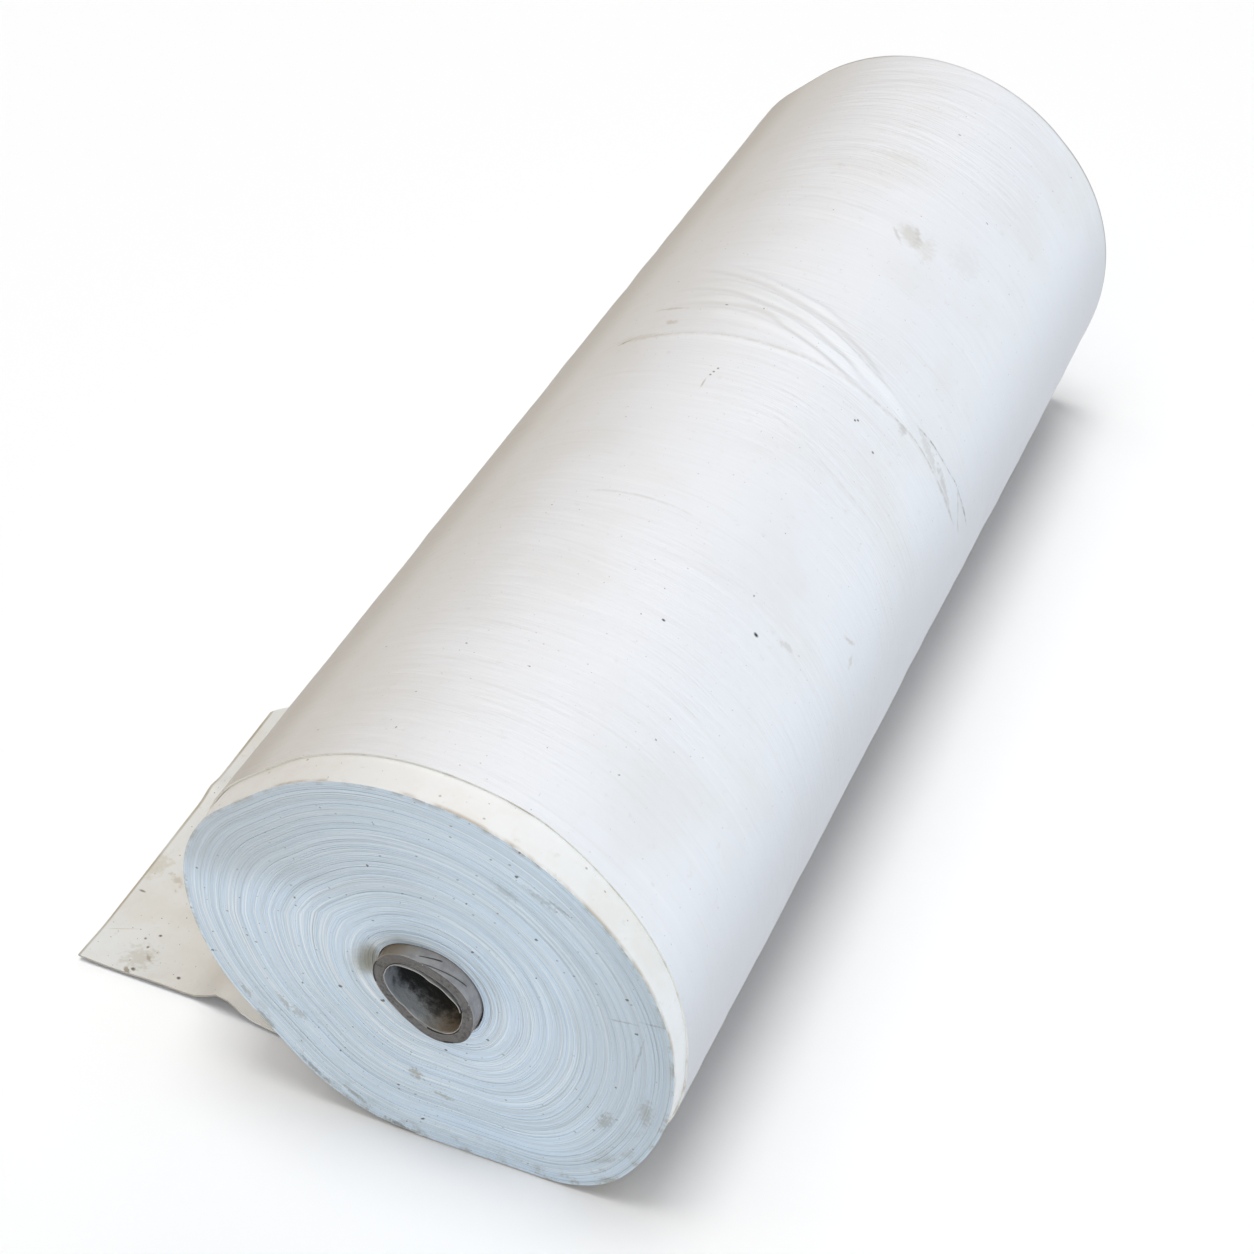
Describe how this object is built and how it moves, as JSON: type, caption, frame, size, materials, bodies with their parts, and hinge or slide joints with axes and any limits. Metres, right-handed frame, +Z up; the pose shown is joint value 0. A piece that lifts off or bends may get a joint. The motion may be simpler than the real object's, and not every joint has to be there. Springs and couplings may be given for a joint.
{
  "type": "roll of roofing felt",
  "caption": "Large sagged roll of white-faced roofing felt on a cardboard core, outermost turn set back at one end and its loose end lying flat on the floor",
  "frame": {"origin": "on the floor plane, at the middle of the roll's length, on the centre line of the roll's width", "axes": "+Y along the roll from its front end, where the core stands out, to its far end; +Z up; +X across the roll, away from the loose end"},
  "size_m": [0.4745, 1.014, 0.313],
  "materials": {
    "felt": "satin white outer face, pale blue cut edges",
    "core_board": "dull grey spiral-wound board"
  },
  "bodies": {
    "root": {"felt_roll": "felt", "core_tube": "core_board"}
  },
  "joints": []
}
